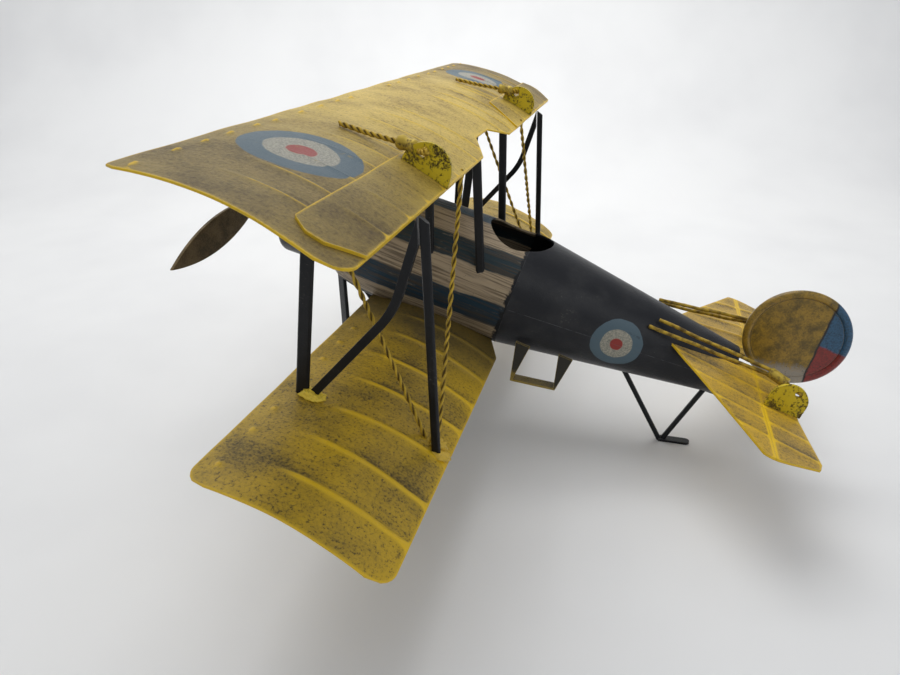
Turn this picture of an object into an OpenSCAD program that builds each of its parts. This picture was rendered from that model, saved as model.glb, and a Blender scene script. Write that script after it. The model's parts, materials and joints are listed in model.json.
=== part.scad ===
// Tin-plate biplane desk model, standing on its two wheels and its tail skid.
//
// Every sub-part is drawn in flight axes: nose towards -Y, port wing towards +X, +Z up, the
// upper wing's chord level, and the origin at the middle of the upper wing's leading edge.
// stand() then tips the tail down on to its skid and lifts the model on to the floor at Z = 0.

/* [Wings] */
// Half of the upper wing's span, at its front edge
upper_half_span = 199; // [190:1:210]
// How much further the upper wing's back edge sits to port than its front edge
upper_skew = 8; // [0:0.5:10]
// Chord of the upper wing
upper_chord = 81; // [79:0.5:83]
// Height of the upper wing's arched section
upper_rise = 5.7; // [4.5:0.1:7]
// Half of the lower wing's span, at its front edge
lower_half_span = 208; // [200:1:215]
// How much further the lower wing's back edge sits to port than its front edge
lower_skew = 6.5; // [0:0.5:10]
// Chord of the lower wing
lower_chord = 79; // [77:0.5:81]
// Height of the lower wing's arched section
lower_rise = 6.4; // [5:0.1:7.5]
// How far the lower wing sits behind the upper one
stagger = 43.7; // [42:0.1:45]
// Height of the upper wing over the root of the lower one
wing_gap = 99.9; // [98:0.1:101]
// Upward slope of the port lower wing, in degrees
dihedral_port = 1.8; // [0.5:0.1:2.5]
// Upward slope of the starboard lower wing, in degrees
dihedral_starboard = 0.6; // [0.5:0.1:2.5]
// Thickness of the wing sheet
sheet = 0.9; // [0.8:0.05:1.1]

/* [Fuselage] */
// Radius of the striped front barrel
barrel_r = 33; // [32:0.25:33.5]
// Radius of the tail cone at its small end
tail_r = 14.3; // [13:0.1:15]
// Thickness of the fuselage sheet
skin = 1; // [0.8:0.05:1.2]
// Radius of the round cockpit opening, seen from above
cockpit_r = 18.3; // [17:0.1:19]

/* [Propeller and engine] */
// Radius swept by the propeller tips
propeller_r = 89; // [84:0.5:92]
// Droop of the port blade below level, in degrees
propeller_rest = 11; // [0:1:20]
// Radius of the propeller pin
pin_r = 1.5; // [1.4:0.05:1.6]
// Number of engine cylinders
cylinder_count = 7; // [5:2:9]

/* [Undercarriage] */
// Radius of the wheels over the tyre
wheel_r = 20; // [19:0.25:21]
// Width of a tyre
tyre_width = 8; // [7:0.5:9]
// Distance of each wheel's middle from the centre line
half_track = 57; // [56:0.5:60]
// Radius of the axle
axle_r = 1.6; // [1.5:0.05:1.75]

/* [Bracing] */
// Width of the front interplane strut
strut_width = 5.8; // [4:0.1:6.5]
// Thickness of the flattened strut section
strut_thick = 2.2; // [1.8:0.1:2.6]
// Overall radius of a twisted two-strand brace
wire_r = 1.4; // [1.2:0.05:1.6]
// Distance of the interplane struts from the centre line
strut_x = 139; // [136:0.5:141]

/* [Tail] */
// Half of the tailplane's span
tail_half_span = 93; // [88:0.5:96]
// Radius of the round fin over its rolled rim
fin_r = 26.5; // [24:0.25:27.5]

/* [Hidden] */
$fn = 48;
fine = 240;
port = 1;
starboard = -1;
// Longer than the model in any direction, for cutting shapes
reach = 300;
// Air left between parts that turn and parts that stand still
air = 0.3;

// Fuselage axis: a cone behind a barrel, both rising to the tail
barrel_axis_z = -76.1;
barrel_tilt = 2.5;
barrel_start = 12;
// Stations of the barrel where it draws in towards the nose: distance along its axis, radius
barrel_curve = [[barrel_start, 25.5], [15, 25.5], [20, 29], [34, 32], [46, barrel_r]];
barrel_end = 117.6;
cone_start_z = -70.9;
cone_tilt = 0.7;
cone_length = 124;
cockpit_y = 109.6;

// Engine and propeller stations along the barrel axis
cowl_r = barrel_curve[0][1] - skin;
cowl_front = -20;
boss_back = -38;
boss_front = -46;
crank_front = boss_back + air;
crank_nose_back = -26;

// Wheels and skid set the resting attitude
wheel_y = 60;
wheel_z = -159.1;
foot_y = 240;
foot_z = -122.6;
rest_angle = atan((foot_z - wheel_z) / (foot_y - wheel_y))
    + asin(wheel_r / norm([foot_y - wheel_y, foot_z - wheel_z]));
stand_x = -3.2;
stand_y = -97.97;
stand_z = wheel_r + wheel_y * sin(rest_angle) - wheel_z * cos(rest_angle);

// Arched wing sections are circular arcs
upper_arc_r = arc_radius(upper_chord, upper_rise);
lower_arc_r = arc_radius(lower_chord, lower_rise);
lower_root_x = 12;
aileron_thick = 0.8;
// The upper wing's back edge is cut away over the cockpit
cutout_half_front = 14;
cutout_half_back = 35;
cutout_depth = 9.8;

// Tailplane
tail_z = -61;
tail_sheet = 1.1;
tail_top = tail_z + tail_sheet;
hinge_y = 250.5;

// Upright half-round horns that the control wires are looped to
horn_sheet = 1.6;
horn_hole_r = 1.6;
horn_x = 104;
horn_y = 71;
horn_r = 10.5;
horn_top = 13;
elevator_horn_x = 45;
elevator_horn_y = 260;
elevator_horn_r = 9;
elevator_horn_top = 15;
ferrule_length = 9;
cable_start = [horn_x - 3.4, 57.5, 10.4];
cable_end = [95, 29, 6.6];
rod_r = 0.9;
rod_high = [[14.5, 194, -51.5], [31.2, 252, -47.9]];
rod_low = [[18, 190, -55.5], [31.8, 252, -50.2]];
elevator_ferrule = [[31, 250.5, -48.9], [36, 258.8, -49.4]];
elevator_eye = [elevator_horn_x, 262.5, tail_top + 11.5];

// Fin
fin_y = 263.6;
fin_z = -38;
rim_r = 2.1;

// Engine and propeller details
pin_depth = 10;
boss_r = 4.2;
head_r = 3.4;
head_height = 2.2;
head_arc_r = arc_radius(2 * head_r, head_height);
blade_thick = 1.6;
blade_half_width = 8.5;
blade_root = 4;
blade_pitch = 18;
cylinder_station = -8;

// Struts: where they cross the level of the lower wing's root, and how far they lean forward
cabane_top_x = 34;
cabane_foot_x = 31;
cabane_foot_z = -57;
cabane_width = 4.6;
strut_front_foot_y = 57;
strut_rear_foot_y = 118.9;
front_lean = 0.186;
rear_lean = 0.363;
rear_strut_width = 3.8;
diagonal_y = 82.4;
foot_r = 4.2;

// Undercarriage
gear_x = 49;
gear_front_top = [5.8, 16.9, -97.4];
gear_rear_top = [9, 92, -100];
gear_front_width = 8;
gear_rear_width = 6;
disc_r = 13.5;

// Footstep: a strap 7 mm wide between two tabs on the fuselage side
step_x = 22;
step_width = 7;
step_strap = 0.9;
step_front = [step_x, 134, -114];
step_back = [step_x, 158, -109];

// Tail skid
skid_width = 2.7;
skid_thick = 3.4;
skid_foot_thick = 1.5;

function arc_radius(chord, rise) = (chord * chord / 4 + rise * rise) / (2 * rise);
function dihedral(side) = side > 0 ? dihedral_port : dihedral_starboard;
// Heights of the wings' top surfaces
function upper_top(y) = upper_rise - upper_arc_r
    + sqrt(upper_arc_r * upper_arc_r - pow(y - upper_chord / 2, 2));
function lower_top(side, x, y) = x * tan(dihedral(side)) - wing_gap + lower_rise - lower_arc_r
    + sqrt(lower_arc_r * lower_arc_r - pow(y - stagger - lower_chord / 2, 2));
// Middle height of the barrel's axis
function axis_z(y) = barrel_axis_z + y * tan(barrel_tilt);

// Flight axes to the resting attitude
module stand() translate([stand_x, stand_y, stand_z]) rotate([-rest_angle, 0, 0]) children();
// Draws a port part on either side
module on_side(side) mirror([side < 0 ? 1 : 0, 0, 0]) children();
// Local +Z runs aft along the barrel's axis
module along_barrel() translate([0, 0, barrel_axis_z]) rotate([barrel_tilt - 90, 0, 0]) children();
module along_cone() translate([0, barrel_end, cone_start_z]) rotate([cone_tilt - 90, 0, 0])
    children();
module lower_frame(side) translate([0, stagger, -wing_gap]) rotate([0, -dihedral(side), 0])
    children();

// Cylinder along X whose top follows a wing's arched upper surface
module arch(chord, rise, extra) translate([-reach, chord / 2, rise - arc_radius(chord, rise)])
    rotate([0, 90, 0]) cylinder(r = arc_radius(chord, rise) + extra, h = 2 * reach, $fn = fine);

// Flattened-tube strut between two points, its width near the plane of symmetry
module bar(start, finish, width, thick, rounded = true) {
    run = finish - start;
    length = norm(run);
    translate(start) rotate([0, acos(run[2] / length), atan2(run[1], run[0])])
        linear_extrude(length) if (!rounded) square([width, thick], center = true);
            else if (width > thick) stadium(width, thick);
            else rotate([0, 0, 90]) stadium(thick, width);
}

module stadium(length, width) {
    square([length - width, width], center = true);
    for (end = [-1, 1]) translate([end * (length - width) / 2, 0]) circle(d = width);
}

module rod(start, finish, radius) {
    run = finish - start;
    length = norm(run);
    translate(start) rotate([0, acos(run[2] / length), atan2(run[1], run[0])])
        cylinder(r = radius, h = length);
}

// Keeps what lies between the two wings of one side
module between_wings(side) difference() {
    intersection() {
        children();
        arch(upper_chord, upper_rise, -sheet);
    }
    lower_frame(side) arch(lower_chord, lower_rise, 0);
}

// Solid barrel up to a station of its axis, its surface drawn in by an inset
module barrel_solid(last, inset = 0) along_barrel() {
    for (k = [1 : len(barrel_curve) - 1]) translate([0, 0, barrel_curve[k - 1][0]])
        cylinder(r1 = barrel_curve[k - 1][1] - inset, r2 = barrel_curve[k][1] - inset,
            h = barrel_curve[k][0] - barrel_curve[k - 1][0], $fn = fine);
    translate([0, 0, barrel_curve[len(barrel_curve) - 1][0]])
        cylinder(r = barrel_r - inset, h = last - barrel_curve[len(barrel_curve) - 1][0],
            $fn = fine);
}

// Solid fuselage, for fitting parts against it
module fuselage_solid() {
    barrel_solid(barrel_end / cos(barrel_tilt));
    along_cone() cylinder(r1 = barrel_r, r2 = tail_r, h = cone_length, $fn = fine);
}

// Round opening cut straight down into the cockpit
module cockpit_cutter() translate([0, cockpit_y, axis_z(cockpit_y)]) cylinder(r = cockpit_r, h = 60);

// ---- Fuselage ----

module barrel() stand() color("slategray") difference() {
    barrel_solid(barrel_end + 3);
    barrel_solid(barrel_end + 10, skin);
    along_cone() cylinder(r = 2 * barrel_r, h = 20);
    cockpit_cutter();
}

// Pressed disc that closes the barrel and carries the engine
module nose_bulkhead() stand() color("dimgray") along_barrel()
    translate([0, 0, barrel_start + 1]) cylinder(r = cowl_r, h = 1.2, $fn = fine);

module tail_cone_shell() difference() {
    along_cone() cylinder(r1 = barrel_r, r2 = tail_r, h = cone_length, $fn = fine);
    along_cone() translate([0, 0, -0.01])
        cylinder(r1 = barrel_r - skin, r2 = tail_r - skin, h = cone_length - 1.2, $fn = fine);
    cockpit_cutter();
}

module cone_half(up) along_cone() translate([0, up * reach / 2, 0])
    cube([reach, reach, reach], center = true);

// Upper and lower halves of the tail cone meet at a seam half way up each side
module tail_shell_upper() stand() color("#23262e") intersection() {
    tail_cone_shell();
    cone_half(-1);
}

module tail_shell_lower() stand() color("#1d2027") intersection() {
    tail_cone_shell();
    cone_half(1);
}

// ---- Engine and propeller ----

// Ring cowl with a rounded front lip; its back edge sits inside the barrel's mouth
module cowl() stand() color("#26292f") along_barrel() translate([0, 0, cowl_front])
    rotate_extrude($fn = fine) {
        lip = 4;
        translate([cowl_r - skin, lip]) square([skin, barrel_start + 1 - cowl_front - lip]);
        intersection() {
            translate([cowl_r - lip, lip]) difference() {
                circle(r = lip);
                circle(r = lip - skin);
            }
            translate([cowl_r - lip - 1, 0]) square([lip + 1, lip]);
        }
    }

module crankcase() stand() color("#4a4640") along_barrel() difference() {
    union() {
        translate([0, 0, -20]) cylinder(r = 9, h = 21 + barrel_start);
        translate([0, 0, crank_nose_back - 1]) cylinder(r1 = 6.5, r2 = 9, h = 7.01);
        translate([0, 0, crank_front]) cylinder(r = 5, h = crank_nose_back - crank_front);
    }
    translate([0, 0, crank_front - 1]) cylinder(r = pin_r, h = pin_depth + 1);
}

// Finned cylinders of a small radial engine, each butted on the crankcase
module engine_cylinders() stand() color("#5b5750") along_barrel() translate([0, 0, cylinder_station])
    for (k = [0 : cylinder_count - 1]) rotate([0, 0, 180 + k * 360 / cylinder_count])
        difference() {
            rotate([-90, 0, 0]) union() {
                translate([0, 0, 8]) cylinder(r = 3.6, h = 13);
                for (fin = [0 : 3]) translate([0, 0, 12 + fin * 2]) cylinder(r = 5, h = 0.9);
                translate([0, 0, 20]) cylinder(r = 4.4, h = 2);
            }
            translate([0, 0, -10]) cylinder(r = 9, h = 20);
        }

// Fixed pin, driven into the crankcase; its head keeps the propeller on
module propeller_pin() stand() color("#8a6a3a") along_barrel() {
    translate([0, 0, boss_front - 1]) cylinder(r = pin_r, h = crank_front + pin_depth - boss_front + 1);
    translate([0, 0, boss_front - air - head_height]) rotate_extrude() intersection() {
        translate([0, head_arc_r]) circle(r = head_arc_r, $fn = fine);
        square([head_r, head_height]);
    }
}

// Two leaf-shaped blades pressed from one strip, pitched about their length
module propeller_blades() stand() color("#5a4426") along_barrel() rotate([0, 0, propeller_rest])
    difference() {
        union() {
            translate([0, 0, (boss_back + boss_front) / 2 - 0.9]) cylinder(r = 7.5, h = 1.8);
            for (turn = [0, 180]) rotate([0, 0, turn]) translate([0, 0, (boss_back + boss_front) / 2])
                rotate([blade_pitch, 0, 0]) translate([0, 0, -blade_thick / 2])
                    linear_extrude(blade_thick) blade_outline();
        }
        translate([0, 0, boss_front - 1]) cylinder(r = boss_r, h = boss_back - boss_front + 2);
    }

// Leaf made by two arcs, blunt at the root
module blade_outline() {
    length = propeller_r - blade_root;
    r = arc_radius(length, blade_half_width);
    middle = blade_root + length / 2;
    intersection() {
        translate([middle, blade_half_width - r]) circle(r = r, $fn = fine);
        translate([middle, r - blade_half_width]) circle(r = r, $fn = fine);
    }
    translate([0, -3]) square([18, 6]);
}

module propeller_boss() stand() color("#6b5230") along_barrel() difference() {
    translate([0, 0, boss_front]) cylinder(r = boss_r, h = boss_back - boss_front);
    translate([0, 0, boss_front - 1]) cylinder(r = pin_r + 0.06, h = boss_back - boss_front + 2);
}

// ---- Wings ----

// Outboard half of a wing seen from above, with a slanted tip and rounded corners
module half_plan(front, back, chord, front_r, back_r) {
    polygon([[0, 0], [front - front_r, 0], [front, front_r], [back, chord - back_r],
        [back - back_r, chord], [0, chord]]);
    translate([front - front_r, front_r]) circle(r = front_r);
    translate([back - back_r, chord - back_r]) circle(r = back_r);
}

module upper_wing() stand() color("goldenrod") intersection() {
    difference() {
        arch(upper_chord, upper_rise, 0);
        arch(upper_chord, upper_rise, -sheet);
    }
    translate([0, 0, -20]) linear_extrude(40) difference() {
        for (side = [port, starboard]) on_side(side)
            half_plan(upper_half_span, upper_half_span + side * upper_skew, upper_chord, 4, 10);
        polygon([[-cutout_half_back, upper_chord + 1],
            [-cutout_half_front, upper_chord - cutout_depth],
            [cutout_half_front, upper_chord - cutout_depth],
            [cutout_half_back, upper_chord + 1]]);
    }
}

module lower_wing(side) stand() color("goldenrod") on_side(side) difference() {
    lower_frame(side) intersection() {
        difference() {
            arch(lower_chord, lower_rise, 0);
            arch(lower_chord, lower_rise, -sheet);
        }
        translate([0, 0, -20]) linear_extrude(40) difference() {
            half_plan(lower_half_span, lower_half_span + side * lower_skew, lower_chord, 9, 9);
            translate([-1, -1]) square([lower_root_x + 1, lower_chord + 2]);
            polygon([[lower_root_x - 1, 68], [35, lower_chord + 1], [lower_root_x - 1,
                lower_chord + 1]]);
        }
    }
    fuselage_solid();
}

// Aileron plate soldered on top of the upper wing, its back edge on the wing's back edge
module aileron(side) stand() color("#c9a227") on_side(side) intersection() {
    // The starboard wing tip slants inwards, so that side's aileron is shorter
    tip_shift = side > 0 ? 0 : -1.7 * upper_skew;
    difference() {
        arch(upper_chord, upper_rise, aileron_thick);
        arch(upper_chord, upper_rise, 0);
    }
    translate([0, 0, -20]) linear_extrude(40) polygon([[56, upper_chord - 0.3],
        [71, 58], [194 + tip_shift, 58], [198 + tip_shift, 66], [198 + tip_shift, 70],
        [190.5 + tip_shift, upper_chord - 0.3]]);
}

// ---- Aileron gear on the upper wing ----

// Upright plate with a half-round top, starting sunk mm below the origin
module horn_plate(radius, top, sunk) translate([-horn_sheet / 2, 0, 0]) rotate([90, 0, 90])
    linear_extrude(horn_sheet) {
        translate([0, top - radius]) circle(r = radius, $fn = fine);
        translate([-radius, -sunk]) square([2 * radius, top - radius + sunk]);
    }

module horn_hole(eye) translate(eye - [horn_sheet, 0, 0]) rotate([0, 90, 0])
    cylinder(r = horn_hole_r, h = 2 * horn_sheet);

module aileron_horn(side) stand() color("#7d701c") on_side(side) difference() {
    translate([horn_x, horn_y, upper_top(horn_y)]) horn_plate(horn_r, horn_top, 6);
    arch(upper_chord, upper_rise, aileron_thick);
    horn_hole([horn_x, horn_y - 3, upper_top(horn_y) + 8]);
}

module aileron_ferrules() stand() color("#b08d3c")
    for (side = [port, starboard]) on_side(side) difference() {
        rod(cable_start, cable_start + ferrule_run(), 2.4);
        translate([horn_x - horn_sheet / 2, horn_y - horn_r - 1, 0]) cube([8, 30, 20]);
    }

function ferrule_run() = ferrule_length * unit([3, 11, 0.6]);
function unit(v) = v / norm(v);

module aileron_cable(side) stand() color("#8c6a1f") on_side(side) difference() {
    rod(cable_end, cable_start, wire_r);
    arch(upper_chord, upper_rise, 0);
}

// ---- Struts ----

module cabane(side, top_y, foot_y) stand() color("#1c1f27") on_side(side) difference() {
    between_wings(side) bar([cabane_foot_x - 2, foot_y + 1.2, cabane_foot_z - 2.4],
        [cabane_top_x, top_y, 8], cabane_width, strut_thick);
    fuselage_solid();
}

function on_front(z, shift = 0) = [strut_x,
    strut_front_foot_y + shift - (z + wing_gap) * front_lean, z];
function on_rear(z, shift = 0) = [strut_x,
    strut_rear_foot_y + shift - (z + wing_gap) * rear_lean, z];

module front_bar(shift = 0, rounded = true) bar(on_front(-wing_gap - 10, shift), on_front(12, shift),
    strut_width + 2 * abs(shift), strut_thick * (rounded ? 1 : 2), rounded);
module rear_bar(shift = 0, rounded = true) bar(on_rear(-wing_gap - 10, shift), on_rear(12, shift),
    rear_strut_width + 2 * abs(shift), strut_thick * (rounded ? 1 : 2), rounded);

module strut_front(side) stand() color("#15171d") on_side(side) between_wings(side) front_bar();

module strut_rear(side) stand() color("#1a1c23") on_side(side) between_wings(side) rear_bar();

// Bent strip from the front foot, up behind it and into the top of the rear strut
module strut_diagonal(side) stand() color("#1a1c23") on_side(side) difference() {
    between_wings(side) diagonal_strip();
    front_bar(-8, false);
    rear_bar(8, false);
}

module diagonal_strip() translate([strut_x - strut_thick / 2, 0, 0]) rotate([90, 0, 90])
    linear_extrude(strut_thick) bent_strip();

// Strip in a Y-Z plane: upright at the top, bent forward by an arc, then straight to the foot
module bent_strip() {
    bend_r = 40;
    bend_z = -32;
    bend = 24;
    half = 1.8;
    lap = 0.2;
    translate([diagonal_y - half, bend_z - lap]) square([2 * half, 8 - bend_z + lap]);
    translate([diagonal_y - bend_r, bend_z]) {
        intersection() {
            difference() {
                circle(r = bend_r + half, $fn = fine);
                circle(r = bend_r - half, $fn = fine);
            }
            polygon([[0, 0], [2 * bend_r, 0], [2 * bend_r, -2 * bend_r * tan(bend)]]);
        }
        rotate([0, 0, -bend]) translate([bend_r - half, -60]) square([2 * half, 60 + lap]);
    }
}

// Painted solder pads at the feet of the interplane struts
module strut_feet() stand() color("#d9b21c") for (side = [port, starboard]) on_side(side) {
    strut_pad(side, strut_front_foot_y + 5.6);
    strut_pad(side, strut_rear_foot_y + 1);
}

module strut_pad(side, y) difference() {
    translate([strut_x, y, lower_top(side, strut_x, y) - 2]) cylinder(r = foot_r, h = 3.2);
    lower_frame(side) arch(lower_chord, lower_rise, 0);
    front_bar();
    rear_bar();
    diagonal_strip();
}

// ---- Twisted wire bracing ----

module brace_inner(side) stand() color("#8c6a1f") on_side(side) between_wings(side)
    rod([74, 79.5, 2], [strut_x - 5, 116.8, -98], wire_r);

module brace_cross(side) stand() color("#7a5c1c") on_side(side) between_wings(side)
    rod([strut_x - 6.5, 27.5, 8], [strut_x - 8, 110, -98], wire_r);

// ---- Undercarriage ----

module gear_leg(side, top, bottom, width) stand() color("#15171d") on_side(side) difference() {
    bar(top, bottom, width, strut_thick);
    fuselage_solid();
    axle_solid(axle_r);
}

module axle_solid(radius) translate([-half_track - 8, wheel_y, wheel_z]) rotate([0, 90, 0])
    cylinder(r = radius, h = 2 * half_track + 16);

module gear_front_leg(side) gear_leg(side, gear_front_top, [gear_x, wheel_y - 0.8, wheel_z - 1],
    gear_front_width);

module gear_rear_leg(side) difference() {
    gear_leg(side, gear_rear_top, [gear_x - 2.6, wheel_y + 0.8, wheel_z - 1], gear_rear_width);
    stand() on_side(side) bar(gear_front_top, [gear_x, wheel_y - 0.8, wheel_z - 1],
        gear_front_width, strut_thick);
}

module axle() stand() color("#3a3a3a") axle_solid(axle_r);

// Small turned caps that keep the wheels on the axle
module axle_caps() stand() color("#8a6a3a") for (side = [port, starboard]) on_side(side)
    translate([half_track + tyre_width / 2 + air, wheel_y, wheel_z]) rotate([0, 90, 0])
        difference() {
            cylinder(r = 3.4, h = 5);
            translate([0, 0, -1]) cylinder(r = axle_r, h = 8 - tyre_width / 2 - air + 1);
        }

module tyre(side) stand() color("#1a1a1a") on_side(side)
    translate([half_track, wheel_y, wheel_z]) rotate([0, 90, 0]) rotate_extrude($fn = fine)
        difference() {
            union() {
                translate([wheel_r - tyre_width / 2, 0]) circle(d = tyre_width);
                translate([disc_r, -tyre_width / 2]) square([wheel_r - tyre_width / 2 - disc_r,
                    tyre_width]);
            }
            translate([0, -tyre_width]) square([disc_r, 2 * tyre_width]);
        }

module wheel_disc(side) stand() color("goldenrod") on_side(side)
    translate([half_track, wheel_y, wheel_z]) rotate([0, 90, 0]) difference() {
        union() {
            translate([0, 0, -1.5]) cylinder(r = disc_r, h = 3, $fn = fine);
            translate([0, 0, -tyre_width / 2]) cylinder(r = 4, h = tyre_width);
        }
        translate([0, 0, -tyre_width]) cylinder(r = axle_r + 0.07, h = 2 * tyre_width);
    }

// ---- Footstep under the port side ----

// Strap bent into a U, with its ends soldered flat on the fuselage side
module footstep() stand() color("#3b3a1e") difference() {
    union() {
        hull() {
            step_corner(step_front);
            step_corner(step_back);
        }
        hull() {
            step_corner(step_front);
            step_tab([27, 129, -89]);
        }
        hull() {
            step_corner(step_back);
            step_tab([24, 153, -88]);
        }
    }
    fuselage_solid();
}

module step_corner(place) translate(place - [step_width / 2, 0, 0])
    cube([step_width, step_strap, step_strap]);

module step_tab(place) translate(place) rotate([0, 42, 0]) cube([step_strap, 8, 1]);

// ---- Tail skid ----

module skid_front_bar() bar([0, 190.4, -92], [0, 230, -128], skid_width, skid_thick);

module skid_front_leg() stand() color("#15171d") difference() {
    skid_front_bar();
    fuselage_solid();
    stand_inverse() skid_foot_solid();
    stand_inverse() translate([-reach, -reach, -reach]) cube([2 * reach, 2 * reach, reach]);
}

module skid_rear_leg() stand() color("#15171d") difference() {
    union() {
        bar([0, 236.4, -82], [0, 229.6, -125], skid_width, skid_thick);
        bar([0, 235.8, -84.9], [0, 242, -84.6], skid_width, skid_thick);
    }
    fuselage_solid();
    skid_front_bar();
    stand_inverse() skid_foot_solid();
}

// Floor-level shape brought back into flight axes
module stand_inverse() rotate([rest_angle, 0, 0]) translate([-stand_x, -stand_y, -stand_z]) children();

foot_rest_y = stand_y + foot_y * cos(rest_angle) + foot_z * sin(rest_angle);

module skid_foot_solid() {
    translate([stand_x - 2.5, foot_rest_y - 13, 0]) cube([5, 15, skid_foot_thick]);
    translate([stand_x, foot_rest_y + 2, 0]) cylinder(r = 2.5, h = skid_foot_thick);
}

module skid_foot() color("#15171d") skid_foot_solid();

// ---- Tail surfaces ----

module tail_plate(outline_points) translate([0, 0, tail_z]) linear_extrude(tail_sheet)
    polygon(outline_points);

module stabiliser(side) stand() color("goldenrod") on_side(side) difference() {
    tail_plate([[6, 200], [14, 203], [tail_half_span - 1, hinge_y - 5],
        [tail_half_span, hinge_y], [6, hinge_y]]);
    fuselage_solid();
}

module elevator(side) stand() color("goldenrod") on_side(side) difference() {
    tail_plate([[4, hinge_y], [tail_half_span, hinge_y], [tail_half_span - 1, 257],
        [tail_half_span - 5, 271], [tail_half_span - 10, 272.5], [48, 268], [24, 268],
        [12, 262], [4, 258]]);
    fuselage_solid();
    fin_solid(0.2);
}

module elevator_horns() stand() color("#d9b21c") for (side = [port, starboard]) on_side(side)
    difference() {
        translate([elevator_horn_x, elevator_horn_y, tail_top])
            horn_plate(elevator_horn_r, elevator_horn_top, 0);
        translate([0, hinge_y - 10, tail_top - 20]) cube([2 * elevator_horn_x, 50, 20]);
        horn_hole(elevator_eye);
    }

module elevator_rods(side) stand() color("#c79a1b") on_side(side) difference() {
    union() {
        rod(rod_high[0], rod_high[1], rod_r);
        rod(rod_low[0], rod_low[1], rod_r);
    }
    fuselage_solid();
}

// Each ferrule ends in a short wire that is soldered to the horn below its hole
module elevator_ferrules() stand() color("#b08d3c") for (side = [port, starboard]) on_side(side)
    difference() {
        union() {
            rod(elevator_ferrule[0], elevator_ferrule[1], 2.7);
            rod(elevator_ferrule[1], elevator_eye - [0, 0, 3.4], 1.1);
        }
        rod(rod_high[0], rod_high[1], rod_r);
        rod(rod_low[0], rod_low[1], rod_r);
        translate([elevator_horn_x - horn_sheet / 2, 200, tail_z]) cube([10, 100, 40]);
    }

module fin_solid(extra) translate([-1 - extra, fin_y, fin_z]) rotate([0, 90, 0])
    cylinder(r = fin_r, h = 2 + 2 * extra, $fn = fine);

module fin_disc() stand() color("#b8941f") difference() {
    translate([-0.7, fin_y, fin_z]) rotate([0, 90, 0]) cylinder(r = fin_r - 2 * rim_r, h = 1.4,
        $fn = fine);
    fuselage_solid();
}

// Rolled rim round the fin
module fin_rim() stand() color("#b8941f") difference() {
    translate([0, fin_y, fin_z]) rotate([0, 90, 0]) rotate_extrude($fn = fine)
        difference() {
            translate([fin_r - rim_r, 0]) circle(r = rim_r);
            square([fin_r - 2 * rim_r, 10]);
        }
    fuselage_solid();
}

barrel();
nose_bulkhead();
tail_shell_upper();
tail_shell_lower();
cowl();
crankcase();
engine_cylinders();
propeller_pin();
propeller_blades();
propeller_boss();
upper_wing();
lower_wing(port);  // lower_wing_port
lower_wing(starboard);  // lower_wing_starboard
aileron(port);  // aileron_port
aileron(starboard);  // aileron_starboard
aileron_horn(port);  // aileron_horn_port
aileron_horn(starboard);  // aileron_horn_starboard
aileron_ferrules();
aileron_cable(port);  // aileron_cable_port
aileron_cable(starboard);  // aileron_cable_starboard
cabane(port, 50, 68);  // cabane_front_port
cabane(starboard, 50, 68);  // cabane_front_starboard
cabane(port, 74, 97);  // cabane_rear_port
cabane(starboard, 74, 97);  // cabane_rear_starboard
strut_front(port);  // strut_front_port
strut_front(starboard);  // strut_front_starboard
strut_diagonal(port);  // strut_diagonal_port
strut_diagonal(starboard);  // strut_diagonal_starboard
strut_rear(port);  // strut_rear_port
strut_rear(starboard);  // strut_rear_starboard
strut_feet();
brace_inner(port);  // brace_inner_port
brace_inner(starboard);  // brace_inner_starboard
brace_cross(port);  // brace_cross_port
brace_cross(starboard);  // brace_cross_starboard
gear_front_leg(port);  // gear_front_leg_port
gear_front_leg(starboard);  // gear_front_leg_starboard
gear_rear_leg(port);  // gear_rear_leg_port
gear_rear_leg(starboard);  // gear_rear_leg_starboard
axle();
axle_caps();
tyre(port);  // tyre_port
tyre(starboard);  // tyre_starboard
wheel_disc(port);  // wheel_disc_port
wheel_disc(starboard);  // wheel_disc_starboard
footstep();
skid_front_leg();
skid_rear_leg();
skid_foot();
stabiliser(port);  // stabiliser_port
stabiliser(starboard);  // stabiliser_starboard
elevator(port);  // elevator_port
elevator(starboard);  // elevator_starboard
elevator_horns();
elevator_ferrules();
elevator_rods(port);  // elevator_rods_port
elevator_rods(starboard);  // elevator_rods_starboard
fin_disc();
fin_rim();
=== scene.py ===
import json
import math
import bpy
from mathutils import Matrix, Vector, noise


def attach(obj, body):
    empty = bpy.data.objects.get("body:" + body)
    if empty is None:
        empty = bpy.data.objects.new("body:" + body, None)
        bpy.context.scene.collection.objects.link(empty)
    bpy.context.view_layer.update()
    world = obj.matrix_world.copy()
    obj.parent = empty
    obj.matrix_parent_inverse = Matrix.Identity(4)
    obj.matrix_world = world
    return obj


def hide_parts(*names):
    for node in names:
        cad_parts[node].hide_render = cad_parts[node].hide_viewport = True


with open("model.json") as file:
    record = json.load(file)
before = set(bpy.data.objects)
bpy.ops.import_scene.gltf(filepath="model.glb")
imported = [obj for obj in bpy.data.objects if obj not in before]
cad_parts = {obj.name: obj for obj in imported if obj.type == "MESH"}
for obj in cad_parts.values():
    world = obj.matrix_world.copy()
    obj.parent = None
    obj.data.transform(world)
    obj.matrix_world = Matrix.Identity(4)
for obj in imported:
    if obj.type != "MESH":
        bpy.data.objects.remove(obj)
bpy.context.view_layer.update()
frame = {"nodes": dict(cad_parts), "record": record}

# %% [markdown]
# # A tin-plate biplane
# The real model is made of cut, bent and soldered tin plate, painted by hand. The imported CAD
# model gives every part its place. This lesson gives the parts their paint, and rebuilds the
# ones that are uneven in real life: beaten wings, twisted wires and blobs of solder.

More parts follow.
